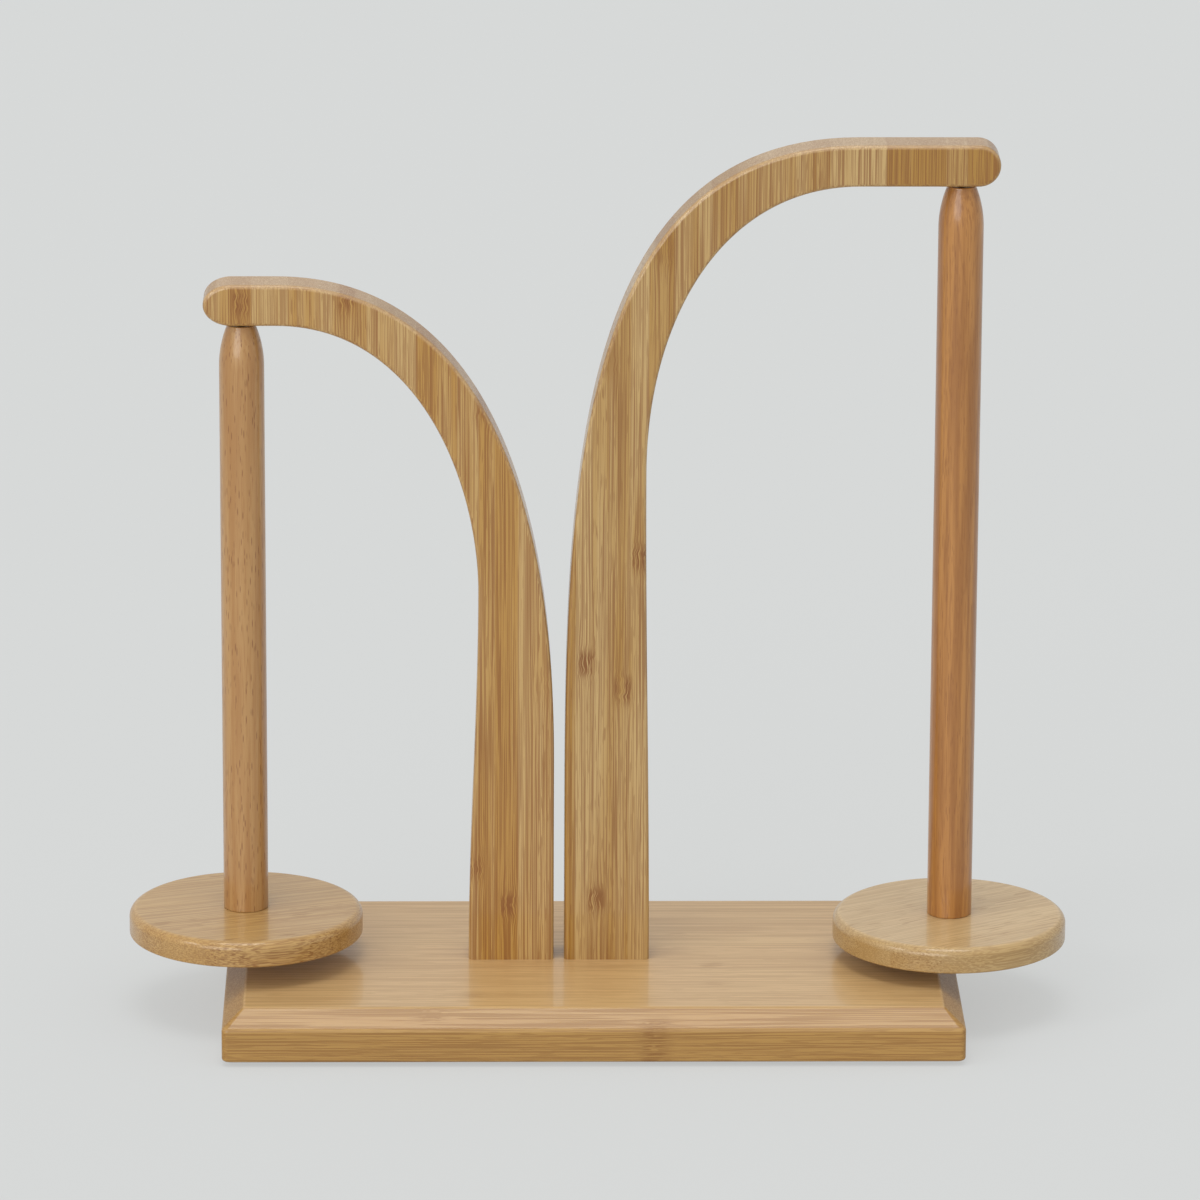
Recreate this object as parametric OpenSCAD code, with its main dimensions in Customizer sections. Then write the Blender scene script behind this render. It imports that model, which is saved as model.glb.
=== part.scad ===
// Double yarn holder in laminated bamboo.
// Two curved arms stand on a bevelled base board. Under the tip of each arm a beech spindle
// with a round tray hangs from a magnet by a steel ball, so that it spins and swings freely.
// Millimetres, +Z up, the user sits on the -Y side. The origin is on the table,
// midway between the two spindle axes.

/* [Base board] */
// Width of the base board
base_w = 345; // [300:1:400]
// Depth of the base board
base_d = 175; // [120:1:220]
// Thickness of the base board
base_t = 24; // [20:0.2:36]
// Width of the bevel round the top, seen from above
bevel_w = 10; // [4:0.5:16]
// Height of the bevel round the top
bevel_h = 8; // [3:0.5:10]
// Radius of the upright corners
corner_r = 3; // [1:0.5:8]
// Distance from the gap between the arms to the middle of the board
base_shift = 15.5; // [-30:0.5:40]

/* [Feet] */
// Diameter of a non-slip foot
pad_d = 16; // [10:1:24]
// Thickness of a non-slip foot
pad_t = 2; // [1:0.2:5]
// Distance from the board's edges to the middle of a foot
pad_inset = 22; // [16:1:32]

/* [Arms] */
// Thickness of the arms, front to back
arm_t = 20; // [18:0.5:30]
// Gap between the two arms
arm_gap = 5; // [2:0.5:12]
// Width of an arm at its foot
arm_foot_w = 40; // [37:0.5:50]
// Height of an arm at its tip
tip_h = 19.5; // [17:0.5:28]
// Distance from the spindle's axis to the end of the arm
nose_l = 17.5; // [15:0.5:30]
// Rounding of the front and back edges of the arms
arm_edge_r = 2; // [0.5:0.25:4]

/* [Short arm] */
// Height of the short arm above the board
short_h = 327.5; // [290:0.5:360]
// Distance from the back of the short arm to its spindle's axis
short_reach = 145; // [130:1:170]
// Height of the straight part of the back
short_back_h = 98; // [60:1:130]
// Length of the straight tip, up to the spindle's axis
short_tip_l = 16; // [10:1:30]
// Length of the rounded end of the short arm
short_end_l = 13; // [8:0.5:14]
// Distance of the inner edge from the back, at the waist
short_waist_w = 35.5; // [31:0.5:39]
// Depth of the waist below the top of the arm
short_waist_drop = 148; // [120:1:180]
// Fullness of the back below its shoulder
short_rise = 0.63; // [0.3:0.01:0.9]
// Fullness of the back's shoulder
short_shoulder = 0.67; // [0.4:0.01:0.95]
// Fullness of the arch above the waist
short_arch = 0.41; // [0.2:0.01:0.9]
// Fullness of the arch under the tip
short_crook = 0.71; // [0.3:0.01:0.95]

/* [Tall arm] */
// Height of the tall arm above the board
tall_h = 393.5; // [370:0.5:430]
// Distance from the back of the tall arm to its spindle's axis
tall_reach = 182; // [165:1:210]
// Height of the straight part of the back
tall_back_h = 63; // [30:1:100]
// Length of the straight tip, up to the spindle's axis
tall_tip_l = 47; // [20:1:65]
// Length of the rounded end of the tall arm
tall_end_l = 10; // [8:0.5:14]
// Distance of the inner edge from the back, at the waist
tall_waist_w = 37.5; // [35:0.5:41]
// Depth of the waist below the top of the arm
tall_waist_drop = 156; // [130:1:200]
// Fullness of the back below its shoulder
tall_rise = 0.49; // [0.3:0.01:0.9]
// Fullness of the back's shoulder
tall_shoulder = 1; // [0.5:0.01:1]
// Fullness of the arch above the waist
tall_arch = 0.53; // [0.3:0.01:0.9]
// Fullness of the arch under the tip
tall_crook = 0.66; // [0.3:0.01:0.95]

/* [Spindles] */
// Diameter of the dowels
dowel_d = 21; // [16:0.5:24]
// Diameter of the flat end at the top of a dowel
dowel_top_d = 13; // [11.5:0.1:15]
// Length of the rounded top of a dowel
dowel_nose_l = 20; // [12:0.5:30]
// Diameter of the tenon at the foot of a dowel
tenon_d = 14; // [10:0.5:15]
// Length of the tenon at the foot of a dowel
tenon_l = 5; // [2:0.5:6]
// Gap between the top of a dowel and its arm
hang_gap = 1.2; // [1.1:0.1:2]
// Height of the short spindle's tray above the board
short_float = 11.5; // [7:0.5:25]
// Height of the tall spindle's tray above the board
tall_float = 8; // [7:0.5:25]

/* [Trays] */
// Diameter of the trays
disc_d = 110; // [90:1:130]
// Thickness of the trays
disc_t = 12; // [10:0.5:16]
// Rounding of a tray's top edge
disc_top_r = 4; // [1:0.25:6]
// Rounding of a tray's bottom edge
disc_low_r = 0.8; // [0.3:0.1:2]

/* [Pivots] */
// Diameter of the steel balls
ball_d = 7; // [6:0.5:8]
// Wall of a ball's socket
socket_wall = 1.2; // [0.8:0.1:1.5]
// Depth of a ball's socket in the dowel
socket_l = 9; // [8:0.5:14]
// Diameter of the magnets
magnet_d = 12; // [9:0.5:14]
// Thickness of the magnets
magnet_t = 5; // [3:0.5:8]

/* [Fasteners] */
// Thread diameter of the arm bolts
bolt_d = 6; // [5:0.5:6]
// Diameter of a bolt's head
bolt_head_d = 10; // [9:0.5:11]
// Height of a bolt's head
bolt_head_h = 6; // [4:0.5:7]
// Key size of a bolt's hexagon socket
bolt_key = 5; // [3:0.5:6]
// Depth of a bolt's hexagon socket
bolt_key_h = 3; // [2:0.5:3.5]
// Distance between the two bolts of an arm
bolt_pitch = 21; // [18:0.5:24]
// Outer diameter of the washers
washer_d = 12.5; // [12:0.5:15]
// Thickness of the washers
washer_t = 1.2; // [0.8:0.1:2]
// Depth of the bolt heads below the board's underside
bolt_sink = 1; // [0.5:0.1:3]
// Outer diameter of the threaded inserts
insert_d = 10; // [8.5:0.5:11]
// Length of the threaded inserts
insert_l = 13; // [9:0.5:20]
// Thread diameter of the tray screws
screw_d = 4; // [3:0.5:5]
// Head diameter of the tray screws
screw_head_d = 8; // [7:0.5:10]
// Length of a tray screw in the dowel
screw_grip = 22; // [12:1:40]
// Width of the cross recess in a tray screw's head
screw_slot_w = 1; // [0.6:0.1:1.4]

/* [Clearances] */
// Clearance round pressed and glued pieces
press_gap = 0.05; // [0.02:0.01:0.2]
// Clearance of running fits
run_gap = 0.05; // [0.02:0.01:0.1]
// Clearance of a bolt in the board
hole_gap = 0.3; // [0.2:0.05:0.8]
// Gap left under the ends of bolts and screws
end_gap = 1; // [0.5:0.1:3]

/* [Hidden] */
$fn = 96;
bamboo = [0.80, 0.62, 0.38];
beech = [0.78, 0.52, 0.31];
steel = [0.62, 0.63, 0.65];
brass = [0.80, 0.64, 0.32];
rubber = [0.16, 0.16, 0.16];
cut = 1;
curve_steps = 20;
nose_steps = 7;
post_steps = 8;
edge_steps = 2;

board_z = pad_t;
board_top = board_z + base_t;
gap_x = (short_reach - tall_reach) / 2;
base_x = gap_x + base_shift;
short_back_x = gap_x - arm_gap / 2;
tall_back_x = gap_x + arm_gap / 2;
short_x = short_back_x - short_reach;
tall_x = tall_back_x + tall_reach;
short_under = board_top + short_h - tip_h;
tall_under = board_top + tall_h - tip_h;
nose_r = tip_h / 2;

bolt_bore_h = bolt_sink + bolt_head_h + washer_t;
washer_z = board_z + bolt_sink + bolt_head_h;
bolt_end = board_top + insert_l - end_gap;
short_bolts = [for (side = [-1, 1]) short_back_x - arm_foot_w / 2 + side * bolt_pitch / 2];
tall_bolts = [for (side = [-1, 1]) tall_back_x + arm_foot_w / 2 + side * bolt_pitch / 2];

ball_r = ball_d / 2;
ball_seat_r = ball_r + run_gap;
socket_r = ball_seat_r + socket_wall;
dowel_r = dowel_d / 2;
dowel_top_r = dowel_top_d / 2;
screw_head_h = (screw_head_d - screw_d) / 2;

// Points of a cubic curve, without its first point
function cubic(a, b, c, d, steps) = [
    for (i = [1:steps])
        let (t = i / steps, s = 1 - t)
            s * s * s * a + 3 * s * s * t * b + 3 * s * t * t * c + t * t * t * d
];

// Points of a quarter ellipse about a centre, from one angle towards another
function quarter_arc(centre, radii, from, sweep, steps) = [
    for (i = [0:steps])
        let (a = from + sweep * i / steps)
            centre + [radii[0] * cos(a), radii[1] * sin(a)]
];

// Outline of an arm, from the back of its foot over the top to the front of its foot.
// The first number of a point is the distance from the back, the second is the height.
// Its outer and its inner half have the same number of points.
function arm_outline(height, reach, back_h, tip_l, end_l, waist_w, waist_drop, rise, shoulder,
    arch, crook) =
    let (
        bend = reach - tip_l,
        under = height - tip_h,
        waist_h = height - waist_drop,
        nose = [reach + nose_l - end_l, height - nose_r],
        nose_radii = [end_l, nose_r],
        back_end = [0, back_h],
        top_start = [bend, height],
        under_end = [bend, under],
        waist = [waist_w, waist_h],
        foot = [arm_foot_w, 0],
        outer = concat(
            [for (i = [0:post_steps]) back_end * i / post_steps],
            cubic(back_end, back_end + [0, rise * (height - back_h)],
                top_start - [shoulder * bend, 0], top_start, curve_steps),
            quarter_arc(nose, nose_radii, 90, -90, nose_steps)),
        inner = concat(
            [foot],
            cubic(foot, foot + [0, waist_h / 3], waist - [0, waist_h / 3], waist, post_steps),
            cubic(waist, waist + [0, arch * (under - waist_h)],
                under_end - [crook * (bend - waist_w), 0], under_end, curve_steps),
            quarter_arc(nose, nose_radii, -90, 90 - 90 / (nose_steps + 1), nose_steps))
    )
    concat(outer, [for (i = [len(inner) - 1:-1:0]) inner[i]]);

short_outline = arm_outline(short_h, short_reach, short_back_h, short_tip_l, short_end_l,
    short_waist_w, short_waist_drop, short_rise, short_shoulder, short_arch, short_crook);
tall_outline = arm_outline(tall_h, tall_reach, tall_back_h, tall_tip_l, tall_end_l,
    tall_waist_w, tall_waist_drop, tall_rise, tall_shoulder, tall_arch, tall_crook);

// Unit vector along v
function unit(v) = v / norm(v);

// Direction of an open outline at point i
function heading(path, i) =
    i == 0 ? unit(path[1] - path[0])
    : i == len(path) - 1 ? unit(path[i] - path[i - 1])
    : unit(unit(path[i] - path[i - 1]) + unit(path[i + 1] - path[i]));

// Outline moved inwards, with its foot kept on the ground
function inset(path, distance) = [
    for (i = [0:len(path) - 1])
        let (h = heading(path, i))
            path[i] + distance * [h[1], -h[0]]
];

// Upright plate with rounded front and back edges. Its outline has an outer and an inner
// half with the same number of points, so that its faces are strips between the two.
module rounded_plate(path, thickness, edge_r) {
    count = len(path);
    quarter = [for (i = [0:edge_steps]) 90 * i / edge_steps];
    front = [for (a = quarter) [edge_r * (1 - sin(a)), edge_r * (1 - cos(a)) - thickness / 2]];
    rings = concat(front, [for (i = [edge_steps:-1:0]) [front[i][0], -front[i][1]]]);
    last = len(rings) - 1;
    points = [for (ring = rings) for (p = inset(path, ring[0])) [p[0], ring[1], p[1]]];
    sides = [
        for (r = [0:last - 1])
            for (i = [0:count - 1])
                let (j = (i + 1) % count, low = r * count, high = low + count)
                    each [[low + i, low + j, high + j], [low + i, high + j, high + i]]
    ];
    strip = [
        for (i = [0:count / 2 - 2])
            let (a = i + 1, b = count - 2 - i)
                each [[i, a, b], [i, b, b + 1]]
    ];
    front_face = [for (t = strip) [t[2], t[1], t[0]]];
    back_face = [for (t = strip) [for (k = t) last * count + k]];
    polyhedron(points, concat(sides, front_face, back_face), convexity = 10);
}

// Trapezium with a flat underside and bevelled top corners
module bevel_profile(width) {
    polygon([
        [-width / 2, 0],
        [width / 2, 0],
        [width / 2, base_t - bevel_h],
        [width / 2 - bevel_w, base_t],
        [bevel_w - width / 2, base_t],
        [-width / 2, base_t - bevel_h]
    ]);
}

module base_blank() {
    intersection() {
        translate([0, base_d / 2, 0]) rotate([90, 0, 0])
            linear_extrude(base_d) bevel_profile(base_w);
        translate([-base_w / 2, 0, 0]) rotate([90, 0, 90])
            linear_extrude(base_w) bevel_profile(base_d);
        linear_extrude(base_t) {
            square([base_w - 2 * corner_r, base_d], center = true);
            square([base_w, base_d - 2 * corner_r], center = true);
            for (sx = [-1, 1])
                for (sy = [-1, 1])
                    translate([sx * (base_w / 2 - corner_r), sy * (base_d / 2 - corner_r)])
                        circle(corner_r);
        }
    }
}

module base_board() {
    color(bamboo)
    difference() {
        translate([base_x, 0, board_z]) base_blank();
        for (x = concat(short_bolts, tall_bolts))
            translate([x, 0, board_z]) {
                translate([0, 0, -cut]) cylinder(base_t + 2 * cut, d = bolt_d + 2 * hole_gap);
                translate([0, 0, -cut])
                    cylinder(bolt_bore_h + cut, d = washer_d + 2 * hole_gap);
            }
    }
}

// Non-slip foot under the corner given by the signs sx and sy
module foot(sx, sy) {
    color(rubber)
    translate([base_x + sx * (base_w / 2 - pad_inset), sy * (base_d / 2 - pad_inset), 0])
        cylinder(pad_t, d = pad_d);
}

module insert_holes(places) {
    for (x = places)
        translate([x, 0, board_top - cut])
            cylinder(insert_l + cut, d = insert_d + 2 * press_gap);
}

module magnet_hole(x, under) {
    translate([x, 0, under - cut]) cylinder(magnet_t + cut, d = magnet_d + 2 * press_gap);
}

module short_arm() {
    color(bamboo)
    difference() {
        translate([short_back_x, 0, board_top]) mirror([1, 0, 0])
            rounded_plate(short_outline, arm_t, arm_edge_r);
        insert_holes(short_bolts);
        magnet_hole(short_x, short_under);
    }
}

module tall_arm() {
    color(bamboo)
    difference() {
        translate([tall_back_x, 0, board_top])
            rounded_plate(tall_outline, arm_t, arm_edge_r);
        insert_holes(tall_bolts);
        magnet_hole(tall_x, tall_under);
    }
}

// Threaded inserts in the foot of an arm
module inserts(places) {
    color(brass)
    for (x = places)
        translate([x, 0, board_top])
            difference() {
                cylinder(insert_l, d = insert_d);
                translate([0, 0, -cut])
                    cylinder(insert_l + 2 * cut, d = bolt_d + 2 * press_gap);
            }
}

// Socket-head bolts that hold an arm from beneath
module bolts(places) {
    color(steel)
    for (x = places)
        translate([x, 0, 0])
            difference() {
                union() {
                    translate([0, 0, washer_z - bolt_head_h])
                        cylinder(bolt_head_h, d = bolt_head_d);
                    translate([0, 0, washer_z]) cylinder(bolt_end - washer_z, d = bolt_d);
                }
                translate([0, 0, washer_z - bolt_head_h - cut])
                    cylinder(bolt_key_h + cut, d = bolt_key / cos(30), $fn = 6);
            }
}

module washers(places) {
    color(steel)
    for (x = places)
        translate([x, 0, washer_z])
            difference() {
                cylinder(washer_t, d = washer_d);
                translate([0, 0, -cut])
                    cylinder(washer_t + 2 * cut, d = bolt_d + 2 * hole_gap);
            }
}

module magnet(x, under) {
    color(steel)
    translate([x, 0, under]) cylinder(magnet_t, d = magnet_d);
}

// Steel ball that hangs on the magnet and carries a spindle
module pivot_ball(x, under) {
    color(steel)
    translate([x, 0, under - run_gap - ball_r]) sphere(ball_r);
}

// Cup in the top of a dowel that holds the ball past its middle
module ball_socket(x, under) {
    color(brass)
    difference() {
        translate([x, 0, under - hang_gap - socket_l]) cylinder(socket_l, r = socket_r);
        translate([x, 0, under - run_gap - ball_r]) sphere(ball_seat_r);
    }
}

// Half section of a dowel of the given length, with a tenon at its foot and a rounded top
// that ends in a flat
module dowel_section(length) {
    step = dowel_r - dowel_top_r;
    arc_r = (step * step + dowel_nose_l * dowel_nose_l) / (2 * step);
    square([tenon_d / 2, length / 2]);
    translate([0, tenon_l]) square([dowel_r, length - dowel_nose_l - tenon_l]);
    intersection() {
        translate([0, length - dowel_nose_l]) square([dowel_r, dowel_nose_l]);
        translate([dowel_r - arc_r, length - dowel_nose_l]) circle(arc_r);
    }
}

// Dowel that hangs at x under an arm, with its tenon in a tray
module dowel(x, under, float) {
    foot_z = board_top + float + disc_t - tenon_l;
    length = under - hang_gap - foot_z;
    color(beech)
    translate([x, 0, foot_z])
        difference() {
            rotate_extrude() dowel_section(length);
            translate([0, 0, length - socket_l - run_gap])
                cylinder(socket_l + run_gap + cut, r = socket_r + run_gap);
            translate([0, 0, -cut])
                cylinder(screw_grip + end_gap + cut, d = screw_d + 2 * press_gap);
        }
}

// Half section of a tray, with a large rounding at the top and a small one below
module tray_section() {
    disc_r = disc_d / 2;
    square([disc_r - disc_top_r, disc_t]);
    translate([0, disc_low_r]) square([disc_r, disc_t - disc_top_r - disc_low_r]);
    square([disc_r - disc_low_r, disc_t - disc_top_r]);
    translate([disc_r - disc_top_r, disc_t - disc_top_r]) circle(disc_top_r);
    translate([disc_r - disc_low_r, disc_low_r]) circle(disc_low_r);
}

module tray(x, float) {
    tenon_hole_l = tenon_l + press_gap;
    color(bamboo)
    translate([x, 0, board_top + float])
        difference() {
            rotate_extrude() tray_section();
            translate([0, 0, disc_t - tenon_hole_l])
                cylinder(tenon_hole_l + cut, d = tenon_d + 2 * press_gap);
            translate([0, 0, -cut]) cylinder(disc_t, d = screw_d + 2 * press_gap);
            translate([0, 0, -press_gap])
                cylinder(screw_head_h + press_gap, d1 = screw_head_d + 4 * press_gap,
                    d2 = screw_d + 2 * press_gap);
        }
}

// Countersunk screw that holds a tray on its dowel
module tray_screw(x, float) {
    color(steel)
    translate([x, 0, board_top + float])
        difference() {
            union() {
                cylinder(screw_head_h, d1 = screw_head_d, d2 = screw_d);
                cylinder(disc_t - tenon_l + screw_grip, d = screw_d);
            }
            for (turn = [0, 90])
                rotate([0, 0, turn])
                    translate([-screw_head_d / 4, -screw_slot_w / 2, -cut])
                        cube([screw_head_d / 2, screw_slot_w, screw_head_h / 2 + cut]);
        }
}

base_board();
short_arm();
tall_arm();
foot(-1, -1);  // foot_front_left
foot(1, -1);  // foot_front_right
foot(-1, 1);  // foot_rear_left
foot(1, 1);  // foot_rear_right
inserts(short_bolts);  // short_arm_inserts
inserts(tall_bolts);  // tall_arm_inserts
bolts(short_bolts);  // short_arm_bolts
bolts(tall_bolts);  // tall_arm_bolts
washers(short_bolts);  // short_arm_washers
washers(tall_bolts);  // tall_arm_washers
magnet(short_x, short_under);  // short_magnet
magnet(tall_x, tall_under);  // tall_magnet
pivot_ball(short_x, short_under);  // short_pivot_ball
pivot_ball(tall_x, tall_under);  // tall_pivot_ball
ball_socket(short_x, short_under);  // short_ball_socket
ball_socket(tall_x, tall_under);  // tall_ball_socket
dowel(short_x, short_under, short_float);  // short_dowel
dowel(tall_x, tall_under, tall_float);  // tall_dowel
tray(short_x, short_float);  // short_tray
tray(tall_x, tall_float);  // tall_tray
tray_screw(short_x, short_float);  // short_tray_screw
tray_screw(tall_x, tall_float);  // tall_tray_screw
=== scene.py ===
"""Looks of a double yarn holder in laminated bamboo with beech spindles."""

import math
from typing import NamedTuple

import bmesh
import bpy
from mathutils import Euler, Matrix, Vector


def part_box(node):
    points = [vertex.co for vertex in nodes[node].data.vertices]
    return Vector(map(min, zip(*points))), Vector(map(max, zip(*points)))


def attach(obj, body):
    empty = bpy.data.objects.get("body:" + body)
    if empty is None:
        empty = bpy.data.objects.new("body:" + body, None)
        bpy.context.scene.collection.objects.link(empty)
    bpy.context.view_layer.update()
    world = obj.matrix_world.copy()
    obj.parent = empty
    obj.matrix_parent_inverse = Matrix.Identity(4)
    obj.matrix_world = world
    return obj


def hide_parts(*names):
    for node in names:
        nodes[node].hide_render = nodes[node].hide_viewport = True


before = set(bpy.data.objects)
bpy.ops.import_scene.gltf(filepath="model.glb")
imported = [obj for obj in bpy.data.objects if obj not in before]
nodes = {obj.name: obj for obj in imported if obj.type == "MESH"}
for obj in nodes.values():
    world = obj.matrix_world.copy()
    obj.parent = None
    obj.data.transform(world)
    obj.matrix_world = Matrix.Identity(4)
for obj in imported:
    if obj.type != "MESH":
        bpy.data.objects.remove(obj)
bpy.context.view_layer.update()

MM = 0.001
SIDES = ("short", "tall")


class ArmCurve(NamedTuple):
    """Outline of an arm. The last four values are shares that say how full its curves are."""

    way: int  # the side it reaches to: -1 is left, 1 is right
    back_h: float  # height of the straight back
    tip_l: float  # straight length of the tip before the spindle's axis
    end_l: float  # length of the elliptical end
    waist_w: float  # distance of the inner edge from the back, at the waist
    waist_drop: float  # depth of the waist below the top
    rise: float  # outer curve, above the back
    shoulder: float  # outer curve, before the tip
    arch: float  # inner curve, above the waist
    crook: float  # inner curve, before the tip


class Look(NamedTuple):
    """Colours and grain of one cut of bamboo."""

    pale: tuple  # ground colour of the palest strips
    honey: tuple  # ground colour of the warmest strips
    dark: tuple  # colour of the fibres
    top: tuple  # pale colour painted on faces that look up as a painted sheen, and on rounded edges for their wear and a painted highlight
    strip_w: float  # mean width of a strip
    contrast: float  # how much the strips differ in warmth
    bundles: float  # strength of the long fibre bundles
    hairs: float  # strength of the hair lines
    dashes: float  # strength of the short dashes
    dots: float  # strength of the dots of end grain
    browner: float  # how much browner the wood is above a knuckle
    coat: float  # weight of the lacquer
    end_gloss: float  # share of the lacquer on end grain
    flatness: float  # how many times wider than deep a fibre is
    top_share: float  # share of the painted sheen on faces that look up
    top_lines: float  # share of the fibres left under the painted sheen on faces that look up
    edge_wear_and_highlight: float  # share of the painted sheen colour on rounded edges, standing for their wear and a painted highlight


class Streaks(NamedTuple):
    """One layer of streaks in wood, drawn by noise."""

    width: float  # in millimetres
    length: float  # in millimetres
    detail: float  # of the noise
    start: float  # noise at which a streak begins
    full: float  # noise at which it is full


def srgb(red, green, blue):
    """A colour given from 0 to 255, as the shaders take it."""
    made = []
    for value in (red, green, blue):
        share = value / 255
        made.append(share / 12.92 if share <= 0.04045 else ((share + 0.055) / 1.055) ** 2.4)
    return (*made, 1)


# Base board: its bevel, corners and eased edges
BEVEL_W = 10 * MM
BEVEL_H = 8 * MM
CORNER_R = 3 * MM
TOP_CORNER_R = 1 * MM
BEVEL_EASE = 3 * MM
FOOT_EASE = 1.8 * MM

# Arms: what both share, then the curves of each
ARM_EDGE_R = 2 * MM
TIP_H = 19.5 * MM
NOSE_L = 17.5 * MM
ARM_FOOT_W = 40 * MM
ARMS = {
    "short": ArmCurve(
        way=-1, back_h=98 * MM, tip_l=16 * MM, end_l=13 * MM, waist_w=35.5 * MM,
        waist_drop=148 * MM, rise=0.63, shoulder=0.67, arch=0.41, crook=0.71,
    ),
    "tall": ArmCurve(
        way=1, back_h=63 * MM, tip_l=47 * MM, end_l=10 * MM, waist_w=37.5 * MM,
        waist_drop=156 * MM, rise=0.49, shoulder=1.0, arch=0.53, crook=0.66,
    ),
}

# Dowels and trays
TENON_L = 5 * MM
TENON_R = 7 * MM
DOWEL_TOP_R = 6.5 * MM
DOWEL_NOSE_L = 20 * MM
DOWEL_EASE = 0.6 * MM
SCREW_R = 2 * MM
SCREW_BORE_L = 23 * MM
TRAY_TOP_R = 4 * MM
TRAY_LOW_R = 0.8 * MM
PRESS_GAP = 0.05 * MM

# Fasteners under the board, and how far cutters run past the faces they open
WASHER_D = 12.5 * MM
BOLT_GAP = 0.3 * MM
BOLT_R = 3 * MM
INSERT_D = 10 * MM
CUT_PAST = 1 * MM

# Fineness of the meshes
CURVE_STEPS = 56
POST_STEPS = 16
NOSE_STEPS = 14
EDGE_STEPS = 5
TRAY_EDGE_STEPS = 15
CORNER_STEPS = 6
TURNED_SIDES = 144
CUTTER_SIDES = 48
SHARP_ANGLE = math.radians(38)

# Strips of bamboo: how much and how fast their widths vary, and how far apart their patterns lie
STRIP_SWAY = 0.9
STRIP_SWAY_RATE = 0.7
STRIP_SHIFT = (40, 40, 40)

# Half of the soft edge of a warmer or paler strip, in millimetres
BAND_EASE = 0.5

# Knuckles of bamboo: each part fades in from the first distance to the second
KNUCKLE_SIDE = (5.5 * MM, 3 * MM)
KNUCKLE_FLOW = (22 * MM, 2 * MM)
CORE_SIDE = (6.5 * MM, 2.5 * MM)
CORE_LEVEL = (12 * MM, 2 * MM)
GLOW_BELOW = (-14 * MM, 0.0)
GLOW_ABOVE = (60 * MM, 4 * MM)
KNUCKLE_PUSH = -0.2

# Fibres of bamboo: how they wander, curl inside a knuckle and crowd
DRIFT = 0.6 * MM
DRIFT_SCALE = (60, 0, 14)
CURL = 3 * MM
CURL_SCALE = (110, 110, 190)
CROWDING = 0.055
KNUCKLE_CROWDING = 0.9
WARM_CROWDING = 0.8

# Layers of bamboo: long bundles, hair lines, short dashes, dots of end grain, wavy lines inside a
# knuckle and soft clouds
BUNDLES = Streaks(0.65, 90, 1.0, 0.575, 0.635)
HAIRS = Streaks(0.52, 70, 0.0, 0.5, 0.62)
DASHES = Streaks(0.6, 11, 0.0, 0.58, 0.68)
DOTS = Streaks(0.6, 30, 0.0, 0.46, 0.56)
WAVES = Streaks(0.5, 14, 0.0, 0.47, 0.54)
CLOUDS = Streaks(7, 140, 2.0, 0.35, 0.65)

# Strength of dashes by a strip's chance, of the wavy lines and of the seams between strips
DASH_CHANCE = (0.1, 0.9)
FEWEST_DASHES = 0.3
WAVE_STRENGTH = 0.95
SEAM_W = 0.03
SEAM_STRENGTH = 0.4

# Warmth of the bamboo's ground, from pale at 0 to honey at 1
MEAN_WARMTH = 0.4
CLOUD_WARMTH = 0.45
GLOW_WARMTH = 0.3

# How far a face looks along the grain or up, from where a change begins to where it is full
END_GRAIN = (0.3, 0.8)
# Faces that look up get a painted sheen, a paler colour with fainter fibres, in place of the light
# they catch from above
PAINTED_SHEEN_FACING = (0.85, 0.97)
PAINTED_SHEEN_FIBRE_FADE = (0.7, 0.95)
# Rounded edges get a paler colour for their wear and a painted highlight, more of it where they look
# up
WEAR_AND_HIGHLIGHT_FACING = (-0.1, 0.5)
WEAR_AND_HIGHLIGHT_BELOW = 0.2

# Lacquer: roughness and gloss, first between the streaks and then on them, and the streaks' depth
BAMBOO_ROUGHNESS = (0.38, 0.52)
BAMBOO_GLOSS = (1.0, 0.55)
BAMBOO_BUMP = 0.03 * MM
BEECH_ROUGHNESS = (0.36, 0.5)
BEECH_BUMP = 0.02 * MM

# Beech: bands of growth, pores and the flecks of its rays
BEECH_BANDS = Streaks(3.5, 120, 2.0, 0.35, 0.65)
BEECH_PORES = Streaks(0.7, 16, 1.0, 0.5, 0.66)
BAND_SHARE = 0.7
PORE_SHARE = 0.5
RAY_W = 0.8
RAY_L = 7
RAY_EDGE = (0.38, 0.18)
RAY_CHANCE = (0.4, 0.8)

# Metal and rubber. Marks, stains and dust begin at the first value of noise and are full at the second
MARKS = (0.3, 0.7)
SCRATCH_FLATNESS = 8
SCRATCH_ROUGHNESS = 0.15
METAL_BUMP = 0.01 * MM
STAIN_SCALE = (300, 300, 300)
STAIN_EDGE = (0.4, 0.75)
RUBBER_GRAIN = (2500, 2500, 2500)
RUBBER_ROUGHNESS = (0.75, 0.9)
RUBBER_BUMP = 0.08 * MM
DUST_SCALE = (180, 180, 180)
DUST_EDGE = (0.45, 0.75)

# Looks of the bamboo pieces
BASE_LOOK = Look(
    pale=srgb(171, 129, 62), honey=srgb(161, 112, 38), dark=srgb(128, 82, 24),
    top=srgb(222, 186, 134), strip_w=16 * MM, contrast=0.4,
    bundles=0.6, hairs=0.55, dashes=0.4, dots=0.35, browner=0.3,
    coat=0.45, end_gloss=0.1, flatness=2.2, top_share=0.64, top_lines=0.45, edge_wear_and_highlight=0.15,
)
SHORT_ARM_LOOK = Look(
    pale=srgb(188, 153, 96), honey=srgb(175, 130, 56), dark=srgb(130, 76, 16),
    top=srgb(230, 202, 164), strip_w=9 * MM, contrast=0.7,
    bundles=0.72, hairs=0.5, dashes=0.5, dots=0.6, browner=1.0,
    coat=0.6, end_gloss=1.0, flatness=1.0, top_share=0.46, top_lines=0.8, edge_wear_and_highlight=0.27,
)
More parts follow.
